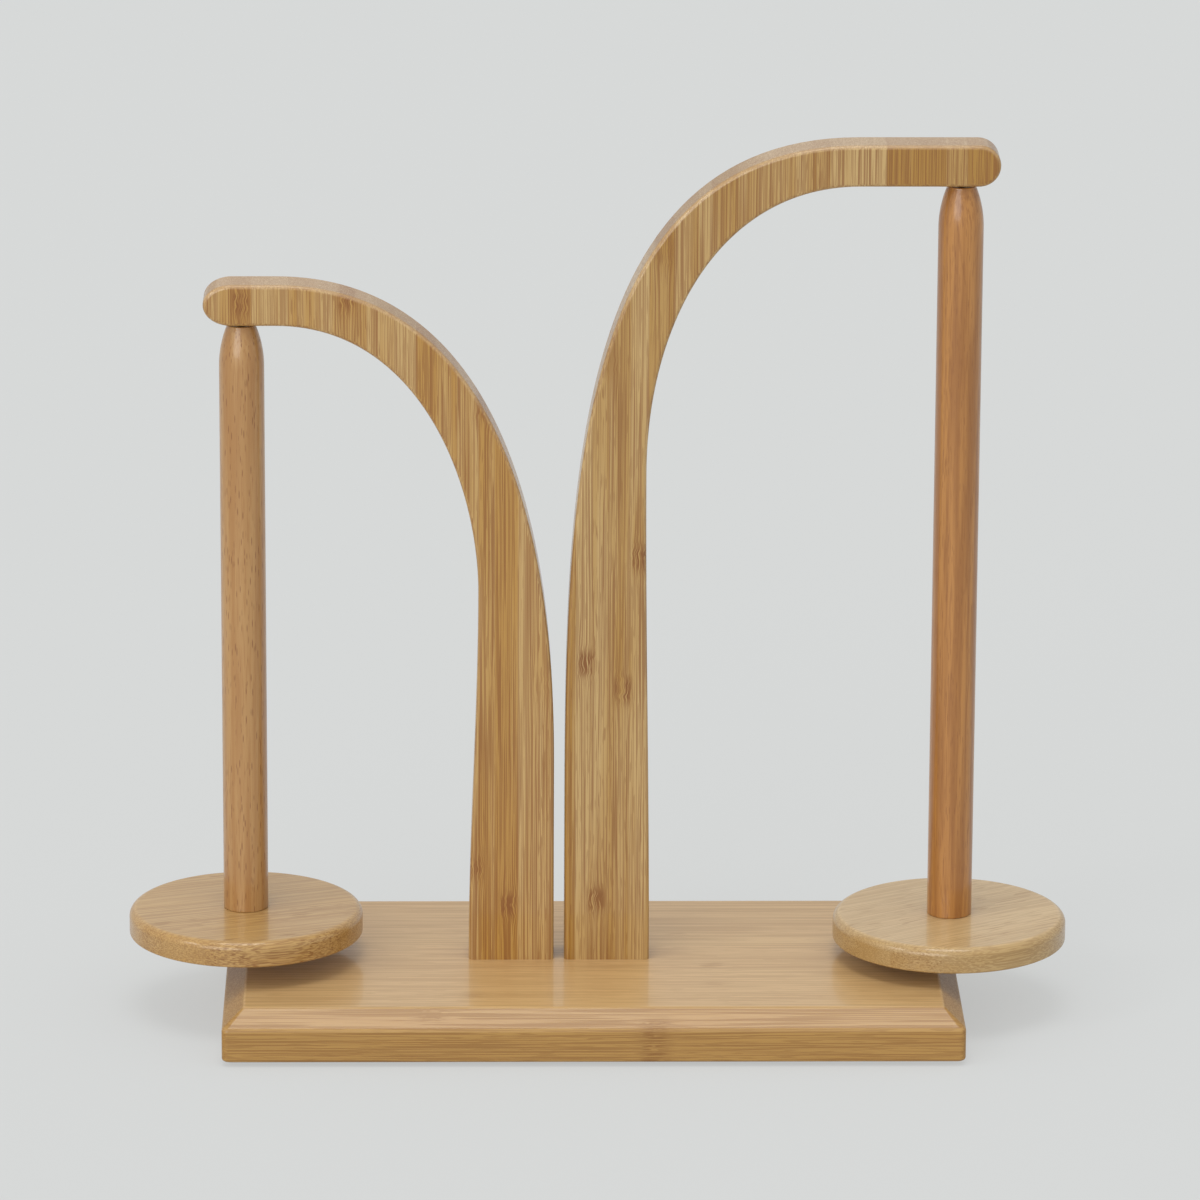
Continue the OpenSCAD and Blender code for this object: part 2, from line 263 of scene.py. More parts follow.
SHORT_TRAY_LOOK = Look(
    pale=srgb(186, 149, 91), honey=srgb(176, 133, 65), dark=srgb(128, 82, 32),
    top=srgb(208, 170, 113), strip_w=18 * MM, contrast=0.25,
    bundles=0.5, hairs=0.5, dashes=0.8, dots=0.15, browner=0.0,
    coat=0.6, end_gloss=1.0, flatness=1.6, top_share=0.35, top_lines=0.7, edge_wear_and_highlight=0.12,
)
ARM_LOOKS = {
    "short": SHORT_ARM_LOOK,
    "tall": SHORT_ARM_LOOK._replace(
        pale=srgb(188, 155, 99), honey=srgb(163, 119, 41), dark=srgb(124, 72, 15),
        bundles=0.68, hairs=0.42, dashes=0.48,
    ),
}
TRAY_LOOKS = {
    "short": SHORT_TRAY_LOOK,
    "tall": SHORT_TRAY_LOOK._replace(
        pale=srgb(184, 154, 104), honey=srgb(176, 140, 82), dark=srgb(136, 98, 48),
        top=srgb(216, 184, 135), bundles=0.4, hairs=0.45, dashes=0.75,
        top_share=0.6, top_lines=0.6,
    ),
}

# Larger knuckles of the boards: (across the strips, along them, strength), in millimetres
KNUCKLES = {
    "short": [
        (-166, 345, 1.0), (-117, 347, 1.0), (-54, 295, 0.9),
        (-27, 160, 0.35), (-42, 53, 1.0), (-58, 72, 0.9),
    ],
    "tall": [
        (4, 317, 0.5), (19, 223, 1.0), (-6, 172, 1.0),
        (11, 159, 1.0), (-1, 56, 0.9), (29, 370, 0.6),
    ],
    "base": [
        (-87, 25, 0.85), (-80, -79, 0.6), (-60, -59, 0.8), (-19, 53, 0.9),
        (-45, 55, 0.7), (26, 41, 0.6), (-72, 65, 0.6),
    ],
}

# Strips that are warmer or, below zero, paler: (from, to, strength), in millimetres
BANDS = {
    "short": [
        (-171, -161, 0.3), (-161, -144, -0.4), (-142, -132, 0.25), (-124, -108, 0.5),
        (-108, -92, -0.1), (-84, -76, 0.35), (-69, -38, 0.4), (-38, -21, -0.3),
    ],
    "tall": [
        (-16, -11, 0.5), (-11, -4, -0.3), (3, 14, 0.25), (14, 22, -0.3), (25, 34, 0.3),
        (45, 51, -0.4), (51, 63, 0.4), (63, 72, 0.15), (72, 80, -0.2), (89, 97, -0.3),
        (98, 105, 0.6), (115, 130, -0.2), (131, 141, 0.8), (141, 147, 0.4),
        (147, 158, 0.9), (158, 168, 0.4), (168, 184, 0.9),
    ],
    "base": [(-88, -40, -0.25), (20, 88, 0.2)],
}
SEEDS = {"short": 11.0, "tall": 27.0, "base": 3.0}
TRAY_TURNS = {"short": 18, "tall": 30}

# Looks of the dowels and the hardware
BEECHES = {
    "short": dict(
        ground=srgb(178, 136, 84), streak=srgb(160, 112, 60), fleck=srgb(114, 64, 27), flecks=0.7,
    ),
    "tall": dict(
        ground=srgb(177, 122, 60), streak=srgb(141, 88, 36), fleck=srgb(118, 68, 28), flecks=0.35,
    ),
}
METALS = {
    "arm_inserts": dict(
        name="brass", colour=srgb(205, 170, 95), tarnish=srgb(160, 120, 60),
        roughness=0.25, scratch=0.3,
    ),
    "ball_socket": dict(
        name="socket_brass", colour=srgb(200, 165, 90), tarnish=srgb(150, 112, 58),
        roughness=0.22, scratch=0.3,
    ),
    "arm_bolts": dict(
        name="zinc_steel", colour=srgb(196, 198, 200), tarnish=srgb(150, 150, 146),
        roughness=0.3, scratch=0.5,
    ),
    "arm_washers": dict(
        name="washer_zinc", colour=srgb(200, 201, 202), tarnish=srgb(156, 155, 150),
        roughness=0.32, scratch=0.5,
    ),
    "tray_screw": dict(
        name="screw_zinc", colour=srgb(198, 198, 196), tarnish=srgb(150, 148, 140),
        roughness=0.3, scratch=0.4,
    ),
    "pivot_ball": dict(
        name="ball_steel", colour=srgb(205, 206, 208), tarnish=srgb(170, 170, 172),
        roughness=0.08, scratch=0.2,
    ),
    "magnet": dict(
        name="magnet_nickel", colour=srgb(200, 198, 192), tarnish=srgb(165, 162, 155),
        roughness=0.15, scratch=0.4,
    ),
}

FOOT_RUBBER = dict(name="foot_rubber", colour=srgb(38, 37, 36), dusty=srgb(70, 68, 64))

# Camera, at the photograph's viewing angle
CAMERA_AT = Vector((-0.0641, -3.5835, 1.252))
CAMERA_PITCH = math.radians(16.36)
CAMERA_YAW = math.radians(1.03)
CAMERA_ROLL = math.radians(0.26)
CAMERA_LENS = 240
SENSOR_W = 36

# Light and background
SKY = (0.67, 0.68, 0.677, 1)
BACKDROP = (0.665, 0.677, 0.672, 1)
FLOOR = (0.68, 0.69, 0.687, 1)
FLOOR_MOTTLE = 1.02
FLOOR_SIZE = 60
FLOOR_GLOW = 0.7
LAMPS = {
    "overhead": dict(strength=0.76, spread=28, elevation=81, azimuth=10),
    "front_left": dict(strength=1.16, spread=40, elevation=12, azimuth=24),
    "left_window": dict(strength=0.3, spread=16, elevation=35, azimuth=60),
}


class Solid:
    """Points, faces and edge mark of one piece, built ring by ring; the mark stands for wear and a
    painted highlight.
    """

    def __init__(self):
        self.points = []
        self.faces = []
        self.wear_and_highlight = []

    def ring(self, points, wear_and_highlight=0.0):
        """Adds points that share one value of the edge mark for wear and painted highlight, and gives
        their numbers.
        """
        first = len(self.points)
        self.points.extend(points)
        self.wear_and_highlight.extend([wear_and_highlight] * len(points))
        return list(range(first, len(self.points)))

    def bridge(self, a, b):
        """Faces between two closed rings, either of which may be a single point."""
        count = max(len(a), len(b))
        for i in range(count):
            j = (i + 1) % count
            corners = [a[i % len(a)], a[j % len(a)], b[j % len(b)], b[i % len(b)]]
            self.faces.append(list(dict.fromkeys(corners)))

    def skin(self, rings, closed=False):
        """Faces from each ring to the next and, if closed, from the last to the first."""
        for a, b in zip(rings, rings[1:]):
            self.bridge(a, b)
        if closed:
            self.bridge(rings[-1], rings[0])

    def cap(self, rings):
        """A flat face over the first ring and over the last."""
        self.faces.append(rings[0][::-1])
        self.faces.append(rings[-1])

    def build(self, name):
        """An object of this shape in the scene, with its normals outwards."""
        mesh = bpy.data.meshes.new(name)
        mesh.from_pydata([tuple(p) for p in self.points], [], self.faces)
        mesh.validate()
        wear_and_highlight = mesh.attributes.new("wear_and_highlight", "FLOAT", "POINT")
        wear_and_highlight.data.foreach_set("value", self.wear_and_highlight)
        shape = bmesh.new()
        shape.from_mesh(mesh)
        bmesh.ops.recalc_face_normals(shape, faces=shape.faces)
        shape.to_mesh(mesh)
        shape.free()
        piece = bpy.data.objects.new(name, mesh)
        bpy.context.scene.collection.objects.link(piece)
        return piece


def oval(centre, radii, start, sweep, steps):
    """Points of an arc of an ellipse in a plane, with angles in degrees."""
    made = []
    for i in range(steps + 1):
        angle = math.radians(start + sweep * i / steps)
        across = radii[0] * math.cos(angle)
        up = radii[1] * math.sin(angle)
        made.append(Vector(centre) + Vector((across, up)))
    return made


def arc(centre, radius, start, sweep, steps):
    """Points of an arc of a circle in a plane, with angles in degrees."""
    return oval(centre, (radius, radius), start, sweep, steps)


def circle(centre, radius, sides):
    """Corners of a whole circle, each of them once."""
    return arc(centre, radius, 0, 360 - 360 / sides, sides - 1)


def cubic(a, b, c, d, steps):
    """Points of a cubic curve, without its first point."""
    made = []
    for i in range(1, steps + 1):
        t = i / steps
        s = 1 - t
        made.append(s**3 * a + 3 * s * s * t * b + 3 * s * t * t * c + t**3 * d)
    return made


def smooth(piece):
    """Smooth where the surface is smooth, with flat faces kept flat."""
    piece.data.shade_smooth()
    piece.data.set_sharp_from_angle(angle=SHARP_ANGLE)
    piece.modifiers.new("flat faces", "WEIGHTED_NORMAL").keep_sharp = True


def cutter(places, radius, low, high):
    """Upright cylinders to cut from a piece, one at each (x, y)."""
    made = Solid()
    for place in places:
        corners = circle(place, radius, CUTTER_SIDES)
        rings = [made.ring([(p.x, p.y, z) for p in corners]) for z in (low, high)]
        made.skin(rings)
        made.cap(rings)
    return made.build("cutter")


def cut(piece, *cutters):
    """Takes the cutters out of a piece for good."""
    for tool in cutters:
        step = piece.modifiers.new("cut", "BOOLEAN")
        step.operation = "DIFFERENCE"
        step.solver = "EXACT"
        step.object = tool
    done = piece.evaluated_get(bpy.context.evaluated_depsgraph_get())
    piece.data = bpy.data.meshes.new_from_object(done)
    piece.modifiers.clear()
    for tool in cutters:
        bpy.data.objects.remove(tool)


def bolt_places(side):
    """Where the two bolts of an arm stand, from the washers under the board."""
    low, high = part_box(f"{side}_arm_washers")
    return [(low.x + WASHER_D / 2, 0), (high.x - WASHER_D / 2, 0)]


def eased(corner, radius, slopes):
    """Rounds a corner of the board's section, between two slopes in degrees from upright. The edge
    mark for wear and painted highlight is none at the ends of the rounding and full in its middle."""
    start, end = (math.radians(a) for a in slopes)
    half = (end - start) / 2
    reach = radius * math.tan(half)
    into = Vector((math.sin(start), math.cos(start)))
    side = Vector((math.cos(start), -math.sin(start)))
    centre = Vector(corner) - reach * into + radius * side
    made = []
    for i in range(EDGE_STEPS + 1):
        angle = start + (end - start) * i / EDGE_STEPS
        point = centre - radius * Vector((math.cos(angle), -math.sin(angle)))
        made.append((point.x, point.y, math.sin(math.pi * i / EDGE_STEPS)))
    return made


def rounded_square(middle, half_w, half_d, corner_r, z):
    """Level outline with rounded corners."""
    made = []
    for quarter, (sx, sy) in enumerate(((1, 1), (-1, 1), (-1, -1), (1, -1))):
        centre = (middle.x + sx * (half_w - corner_r), middle.y + sy * (half_d - corner_r))
        corner = arc(centre, corner_r, 90 * quarter, 90, CORNER_STEPS)
        made.extend((p.x, p.y, z) for p in corner)
    return made


def base_board():
    """Bevelled board with the counterbored holes of the arms' bolts."""
    low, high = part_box("base_board")
    middle = (low + high) / 2
    half_w = (high.x - low.x) / 2
    half_d = (high.y - low.y) / 2
    slope = math.degrees(math.atan2(BEVEL_H, BEVEL_W))

    # The section runs up from the underside: (inwards from the side, height, edge mark for wear and
    # painted highlight)
    foot = arc((0, 0), FOOT_EASE, -90, 90, EDGE_STEPS)
    section = [(FOOT_EASE - p.x, low.z + FOOT_EASE + p.y, 0.0) for p in foot]
    section += eased((0, high.z - BEVEL_H), BEVEL_EASE, (0, 90 - slope))
    section += eased((BEVEL_W, high.z), BEVEL_EASE, (90 - slope, 90))

    made = Solid()
    rings = []
    for inwards, z, wear_and_highlight in section:
        share = min(1, inwards / BEVEL_W)
        corner_r = CORNER_R + (TOP_CORNER_R - CORNER_R) * share
        outline = rounded_square(middle, half_w - inwards, half_d - inwards, corner_r, z)
        rings.append(made.ring(outline, wear_and_highlight))
    made.skin(rings)
    made.cap(rings)
    piece = made.build("dressed_base_board")

    places = bolt_places("short") + bolt_places("tall")
    washer_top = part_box("short_arm_washers")[1].z
    cut(
        piece,
        cutter(places, WASHER_D / 2 + BOLT_GAP, low.z - CUT_PAST, washer_top),
        cutter(places, BOLT_R + BOLT_GAP, low.z, high.z + CUT_PAST),
    )
    return piece


def arm_outline(height, reach, curve):
    """Outer and inner half of an arm's outline, as (distance from the back, height)."""
    bend = reach - curve.tip_l
    under = height - TIP_H
    waist_h = height - curve.waist_drop
    nose_radii = (curve.end_l, TIP_H / 2)
    nose = (reach + NOSE_L - curve.end_l, height - TIP_H / 2)
    back_end = Vector((0, curve.back_h))
    top_start = Vector((bend, height))
    under_end = Vector((bend, under))
    waist = Vector((curve.waist_w, waist_h))
    foot = Vector((ARM_FOOT_W, 0))

    outer = [back_end * i / POST_STEPS for i in range(POST_STEPS + 1)]
    outer += cubic(
        back_end,
        back_end + Vector((0, curve.rise * (height - curve.back_h))),
        top_start - Vector((curve.shoulder * bend, 0)),
        top_start,
        CURVE_STEPS,
    )
    outer += oval(nose, nose_radii, 90, -90, NOSE_STEPS)

    inner = [foot]
    inner += cubic(
        foot,
        foot + Vector((0, waist_h / 3)),
        waist - Vector((0, waist_h / 3)),
        waist,
        POST_STEPS,
    )
    inner += cubic(
        waist,
        waist + Vector((0, curve.arch * (under - waist_h))),
        under_end - Vector((curve.crook * (bend - curve.waist_w), 0)),
        under_end,
        CURVE_STEPS,
    )
    inner += oval(nose, nose_radii, -90, 90 - 90 / (NOSE_STEPS + 1), NOSE_STEPS)
    return outer, inner


def inset(path, distance):
    """An open outline moved inwards, with its foot kept on the ground."""
    made = []
    for i, point in enumerate(path):
        steps = []
        if i > 0:
            steps.append((point - path[i - 1]).normalized())
        if i < len(path) - 1:
            steps.append((path[i + 1] - point).normalized())
        heading = sum(steps, Vector((0, 0))).normalized()
        made.append(point + distance * Vector((heading.y, -heading.x)))
    return made


def arm(name):
    """Curved arm with rounded edges, a pocket for its magnet and holes for its inserts."""
    low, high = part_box(f"{name}_arm")
    way = ARMS[name].way
    back_x = low.x if way > 0 else high.x
    half_t = (high.y - low.y) / 2
    outer, inner = arm_outline(high.z - low.z, high.x - low.x - NOSE_L, ARMS[name])
    path = outer + inner[::-1]

    made = Solid()
    rings = []
    for wall in (-1, 1):
        for i in range(EDGE_STEPS + 1):
            angle = math.radians(90 * i / EDGE_STEPS)
            if wall > 0:
                angle = math.radians(90) - angle
            y = wall * (half_t - ARM_EDGE_R * (1 - math.cos(angle)))
            edge = inset(path, ARM_EDGE_R * (1 - math.sin(angle)))
            wear_and_highlight = math.sin(2 * angle)
            points = [(back_x + way * p.x, y, low.z + p.y) for p in edge]
            rings.append(made.ring(points, wear_and_highlight))
    made.skin(rings)
    # Each wall is filled by faces from the outer half of its ring to the inner half
    for ring in (rings[0], rings[-1]):
        count = len(ring)
        for i in range(count // 2 - 1):
            made.faces.append([ring[i], ring[i + 1], ring[count - 2 - i], ring[count - 1 - i]])
    piece = made.build(f"dressed_{name}_arm")

    magnet_low, magnet_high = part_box(f"{name}_magnet")
    magnet_r = (magnet_high.x - magnet_low.x) / 2
    magnet_x = (magnet_high.x + magnet_low.x) / 2
    insert_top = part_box(f"{name}_arm_inserts")[1].z
    cut(
        piece,
        cutter([(magnet_x, 0)], magnet_r + PRESS_GAP, magnet_low.z - CUT_PAST, magnet_high.z),
        cutter(bolt_places(name), INSERT_D / 2 + PRESS_GAP, low.z - CUT_PAST, insert_top),
    )
    return piece


def turned(name, section, x, closed=False):
    """Piece turned about the upright axis at x, from (radius, height, edge mark for wear and painted
    highlight) points.
    """
    made = Solid()
    rings = []
    for radius, z, wear_and_highlight in section:
        if radius == 0:
            rings.append(made.ring([(x, 0, z)], wear_and_highlight))
            continue
        corners = circle((x, 0), radius, TURNED_SIDES)
        rings.append(made.ring([(p.x, p.y, z) for p in corners], wear_and_highlight))
    made.skin(rings, closed)
    return made.build(name)


def dowel(name):
    """Spindle with a tenon and a screw hole at its foot, a rounded top and the socket's bore."""
    low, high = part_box(f"{name}_dowel")
    x = (low.x + high.x) / 2
    radius = (high.x - low.x) / 2
    socket_low, socket_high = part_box(f"{name}_ball_socket")
    bore_r = (socket_high.x - socket_low.x) / 2 + PRESS_GAP
    bore_z = socket_low.z - PRESS_GAP
    hole_r = SCREW_R + PRESS_GAP
    hole_z = low.z + SCREW_BORE_L
    shoulder = low.z + TENON_L
    step = radius - DOWEL_TOP_R
    nose_arc_r = (step**2 + DOWEL_NOSE_L**2) / (2 * step)
    nose_z = high.z - DOWEL_NOSE_L
    nose_top = DOWEL_NOSE_L - DOWEL_EASE
    lean = math.degrees(math.asin(nose_top / nose_arc_r))
    rim_r = radius - nose_arc_r * (1 - math.cos(math.radians(lean)))

    foot_at = (radius - DOWEL_EASE, shoulder + DOWEL_EASE)
    rim_at = (rim_r - DOWEL_EASE, high.z - DOWEL_EASE)
    rounding = arc(foot_at, DOWEL_EASE, -90, 90, EDGE_STEPS)
    rounding += arc((radius - nose_arc_r, nose_z), nose_arc_r, 0, lean, CURVE_STEPS)
    rounding += arc(rim_at, DOWEL_EASE, 0, 90, EDGE_STEPS)[1:]

    outline = [(0, hole_z), (hole_r, hole_z), (hole_r, low.z)]
    outline += [(TENON_R, low.z), (TENON_R, shoulder)]
    outline += [(p.x, p.y) for p in rounding]
    outline += [(bore_r, high.z), (bore_r, bore_z), (0, bore_z)]
    return turned(f"dressed_{name}_dowel", [(r, z, 0.0) for r, z in outline], x)


def tray(name):
    """Round tray with a pocket for the dowel's tenon and a countersunk screw hole."""
    low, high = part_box(f"{name}_tray")
    x = (low.x + high.x) / 2
    radius = (high.x - low.x) / 2
    head_low, head_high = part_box(f"{name}_tray_screw")
    head_r = (head_high.x - head_low.x) / 2
    hole_r = SCREW_R + PRESS_GAP
    sink_z = low.z + head_r - SCREW_R
    pocket_z = high.z - TENON_L - PRESS_GAP
    pocket_r = TENON_R + PRESS_GAP

    section = [
        (head_r + PRESS_GAP, low.z, 0.0),
        (hole_r, sink_z, 0.0),
        (hole_r, pocket_z, 0.0),
        (pocket_r, pocket_z, 0.0),
        (pocket_r, high.z, 0.0),
    ]
    top_at = (radius - TRAY_TOP_R, high.z - TRAY_TOP_R)
    low_at = (radius - TRAY_LOW_R, low.z + TRAY_LOW_R)
    for i, p in enumerate(arc(top_at, TRAY_TOP_R, 90, -90, TRAY_EDGE_STEPS)):
        section.append((p.x, p.y, math.sin(math.pi * i / TRAY_EDGE_STEPS)))
    for p in arc(low_at, TRAY_LOW_R, 0, -90, EDGE_STEPS):
        section.append((p.x, p.y, 0.0))
    return turned(f"dressed_{name}_tray", section, x, closed=True)


class Graph:
    """One material's node tree, with short calls for the nodes that the finishes share."""

    def __init__(self, name):
        self.material = bpy.data.materials.new(name)
        self.material.use_nodes = True
        self.tree = self.material.node_tree
        self.tree.nodes.clear()

    def node(self, kind, inputs=None, **settings):
        """A new node, with its settings and with a value or a link for each input."""
        made = self.tree.nodes.new(kind)
        for key, value in settings.items():
            setattr(made, key, value)
        for key, value in (inputs or {}).items():
            self.put(made.inputs[key], value)
        return made

    def put(self, socket, value):
        """Links another node's output to a socket, or sets the socket's value."""
        if isinstance(value, bpy.types.NodeSocket):
            self.tree.links.new(value, socket)
        else:
            socket.default_value = value

    def math(self, operation, *values):
        """One sum on numbers."""
        return self.node("ShaderNodeMath", dict(enumerate(values)), operation=operation).outputs[0]

    def times(self, a, b):
        """The product of two numbers."""
        return self.math("MULTIPLY", a, b)

    def most(self, a, b):
        """The larger of two numbers."""
        return self.math("MAXIMUM", a, b)

    def vector(self, x, y, z):
        """A vector from three numbers."""
        return self.node("ShaderNodeCombineXYZ", {0: x, 1: y, 2: z}).outputs[0]

    def add(self, a, b):
        """The sum of two vectors."""
        return self.node("ShaderNodeVectorMath", {0: a, 1: b}, operation="ADD").outputs[0]

    def scaled(self, vector, factors):
        """A vector with each part multiplied by its own factor."""
        inputs = {0: vector, 1: factors}
        return self.node("ShaderNodeVectorMath", inputs, operation="MULTIPLY").outputs[0]

    def stretched(self, vector, width, length, flatness=1.0):
        """A place counted in streaks of the given width and length, in millimetres."""
        fine = 1 / (width * MM)
        return self.scaled(vector, (fine / flatness, fine, 1 / (length * MM)))

    def turned(self, vector, turn, centre=(0, 0, 0)):
        """A vector turned back by an angle in degrees about the upright axis at centre."""
        inputs = {"Vector": vector, "Center": centre, "Angle": -math.radians(turn)}
        return self.node("ShaderNodeVectorRotate", inputs, rotation_type="Z_AXIS").outputs[0]

    def clamp(self, value):
        """A number kept between 0 and 1."""
        return self.node("ShaderNodeClamp", {0: value}).outputs[0]

    def ramp(self, value, low, high, to_low=0.0, to_high=1.0):
        """A smooth step of value from low to high."""
        made = self.node("ShaderNodeMapRange", {0: value, 1: low, 2: high, 3: to_low, 4: to_high})
        made.interpolation_type = "SMOOTHSTEP"
        return made.outputs[0]

    def noise(self, vector, detail=2.0):
        """Soft noise from 0 to 1."""
        inputs = {"Vector": vector, "Scale": 1.0, "Detail": detail}
        return self.node("ShaderNodeTexNoise", inputs).outputs[0]

    def mix(self, share, a, b):
        """A colour between a and b."""
        made = self.node("ShaderNodeMix", data_type="RGBA")
        for key, value in ((0, share), (6, a), (7, b)):
            self.put(made.inputs[key], value)
        return made.outputs[2]

    def place(self):
        """The place on a piece, in metres of the shared frame."""
        return self.node("ShaderNodeTexCoord").outputs["Object"]

    def facing(self):
        """The direction that a face looks in."""
        return self.node("ShaderNodeTexCoord").outputs["Normal"]

    def split(self, vector):
        """The three parts of a vector."""
        return self.node("ShaderNodeSeparateXYZ", {0: vector}).outputs

    def wear_and_highlight(self):
        """The edge mark that a piece was built with, which stands for wear and a painted highlight."""
        return self.node("ShaderNodeAttribute", attribute_name="wear_and_highlight").outputs["Fac"]

    def finish(self, inputs, height, depth):
        """The material, with a bump from the height, of the given depth in metres."""
        shader = self.node("ShaderNodeBsdfPrincipled", inputs)
        inputs = {"Strength": 1.0, "Distance": depth, "Height": height}
        self.put(shader.inputs["Normal"], self.node("ShaderNodeBump", inputs).outputs[0])
        self.node("ShaderNodeOutputMaterial", {0: shader.outputs[0]})
        return self.material


def strips(g, across, width, seed):
    """Strips of uneven width: the place within one, three chances and a shift of its pattern."""
    strip = g.math("DIVIDE", across, width)
    inputs = {"W": g.math("ADD", strip, seed), "Scale": STRIP_SWAY_RATE, "Detail": 0.0}
    sway = g.node("ShaderNodeTexNoise", inputs, noise_dimensions="1D").outputs[0]
    strip = g.math("MULTIPLY_ADD", sway, STRIP_SWAY, strip)
    inputs = {"W": g.math("ADD", g.math("FLOOR", strip), seed)}
    chance = g.node("ShaderNodeTexWhiteNoise", inputs, noise_dimensions="1D").outputs["Color"]
    return g.math("FRACT", strip), g.split(chance), g.scaled(chance, STRIP_SHIFT)


def spread(g, across, along, knuckles):
    """How knuckles move the fibres aside, where their cores are and where the wood above them is
    browner."""
    shift = 0.0
    core = 0.0
    glow = 0.0
    for x, z, strength in knuckles:
        dx = g.math("SUBTRACT", across, x * MM)
        dz = g.math("SUBTRACT", along, z * MM)
        side = g.math("ABSOLUTE", dx)
        level = g.math("ABSOLUTE", dz)
        on_strip = g.ramp(side, *KNUCKLE_SIDE)
        flow = g.times(on_strip, g.ramp(level, *KNUCKLE_FLOW))
        shift = g.math("MULTIPLY_ADD", g.times(dx, flow), KNUCKLE_PUSH, shift)
        inside = g.times(g.ramp(side, *CORE_SIDE), g.ramp(level, *CORE_LEVEL))
        core = g.most(core, g.times(inside, strength))
        above = g.times(g.ramp(dz, *GLOW_BELOW), g.ramp(dz, *GLOW_ABOVE))
        glow = g.most(glow, g.times(on_strip, g.times(above, strength)))
    return shift, core, glow


def banded(g, across, bands):
    """Sum of the bands that lie over a place."""
    total = 0.0
    for low, high, strength in bands:
        begins = g.ramp(across, (low - BAND_EASE) * MM, (low + BAND_EASE) * MM)
        ends = g.ramp(across, (high + BAND_EASE) * MM, (high - BAND_EASE) * MM)
        total = g.math("MULTIPLY_ADD", g.times(begins, ends), strength, total)
    return total


def bamboo(name, grain, seed, look, knuckles=(), bands=()):
    """Lacquered bamboo. grain gives four sockets: the place across the strips, their depth and
    along the fibres, and how far a face looks along them."""
    g = Graph(name)
    across, depth, along, facing = grain(g)
    share, (tone, flip, kind), own = strips(g, across, look.strip_w, seed)
    shift, core, glow = spread(g, across, along, knuckles)
    glow = g.times(glow, look.browner)
    warm = banded(g, across, bands)

    # Fibres wander a little, part round the knuckles and curl inside them
    point = g.vector(across, depth, along)
    curl = g.noise(g.scaled(point, CURL_SCALE), detail=1.0)
    twist = g.times(g.math("SUBTRACT", curl, 0.5), g.times(core, CURL))
    drift = g.noise(g.scaled(point, DRIFT_SCALE), detail=1.0)
    bent = g.math("ADD", across, shift)
    bent = g.math("ADD", bent, g.math("MULTIPLY_ADD", drift, DRIFT, twist))
    fibre = g.vector(bent, depth, along)

    def pattern(streaks):
        """Noise of a layer of streaks, which become dots where they are cut across."""
        vector = g.stretched(fibre, streaks.width, streaks.length, look.flatness)
        return g.noise(g.add(vector, own), streaks.detail)

    def layer(streaks):
        """How strong a layer of streaks is, from 0 to 1."""
        return g.ramp(pattern(streaks), streaks.start, streaks.full)

    # Long bundles crowd towards one side of a strip; hair lines and short dashes lie all over it
    dense = g.math("ABSOLUTE", g.math("SUBTRACT", share, g.math("ROUND", flip)))
    dense = g.most(dense, g.times(glow, KNUCKLE_CROWDING))
    dense = g.most(dense, g.times(core, KNUCKLE_CROWDING))
    dense = g.math("MULTIPLY_ADD", warm, WARM_CROWDING, dense)
    start = g.math("MULTIPLY_ADD", dense, -CROWDING, BUNDLES.start)
    full = g.math("ADD", start, BUNDLES.full - BUNDLES.start)
    bundles = g.ramp(pattern(BUNDLES), start, full)
    dashes = g.times(layer(DASHES), g.ramp(kind, *DASH_CHANCE, FEWEST_DASHES, 1.0))
    lines = g.most(g.times(bundles, look.bundles), g.times(dashes, look.dashes))
    lines = g.most(lines, g.times(layer(HAIRS), look.hairs))

    # End grain shows as dots, a knuckle as short wavy lines and a glued joint as a thin line
    end = g.ramp(g.math("ABSOLUTE", facing), *END_GRAIN)
    lines = g.most(lines, g.times(layer(DOTS), g.times(end, look.dots)))
    lines = g.most(lines, g.times(core, g.times(layer(WAVES), WAVE_STRENGTH)))
    seam = g.ramp(g.math("MINIMUM", share, g.math("SUBTRACT", 1.0, share)), SEAM_W, 0.0)
    lines = g.most(lines, g.times(seam, SEAM_STRENGTH * look.contrast))

    # The ground differs from strip to strip and in soft clouds, and faces that look up get a painted
    # sheen: a paler colour with fainter fibres
    warmth = g.math("MULTIPLY_ADD", g.math("SUBTRACT", tone, 0.5), look.contrast, MEAN_WARMTH)
    clouds = g.math("SUBTRACT", layer(CLOUDS), 0.5)
    warmth = g.math("MULTIPLY_ADD", clouds, CLOUD_WARMTH, warmth)
    warmth = g.math("ADD", g.math("MULTIPLY_ADD", glow, GLOW_WARMTH, warmth), warm)
    level = g.split(g.facing())[2]
    ground = g.mix(g.clamp(warmth), look.pale, look.honey)
    ground = g.mix(g.times(g.ramp(level, *PAINTED_SHEEN_FACING), look.top_share), ground, look.top)
    lines = g.times(lines, g.ramp(level, *PAINTED_SHEEN_FIBRE_FADE, 1.0, look.top_lines))
    colour = g.mix(lines, ground, look.dark)
    # Rounded edges take the paler colour, partly as wear and partly as a painted highlight, most where
    # they look up
    edge_wear_and_highlight = g.times(g.wear_and_highlight(), g.ramp(level, *WEAR_AND_HIGHLIGHT_FACING, WEAR_AND_HIGHLIGHT_BELOW * look.edge_wear_and_highlight, look.edge_wear_and_highlight))
    colour = g.mix(edge_wear_and_highlight, colour, look.top)

    gloss = g.ramp(end, 0.0, 1.0, look.coat, look.coat * look.end_gloss)
    return g.finish(
        {
            "Base Color": colour,
            "Roughness": g.ramp(lines, 0.0, 1.0, *BAMBOO_ROUGHNESS),
            "IOR": 1.5,
            "Coat Weight": g.times(gloss, g.ramp(lines, 0.0, 1.0, *BAMBOO_GLOSS)),
            "Coat Roughness": 0.1,
        },
        g.times(lines, -1.0),
        BAMBOO_BUMP,
    )


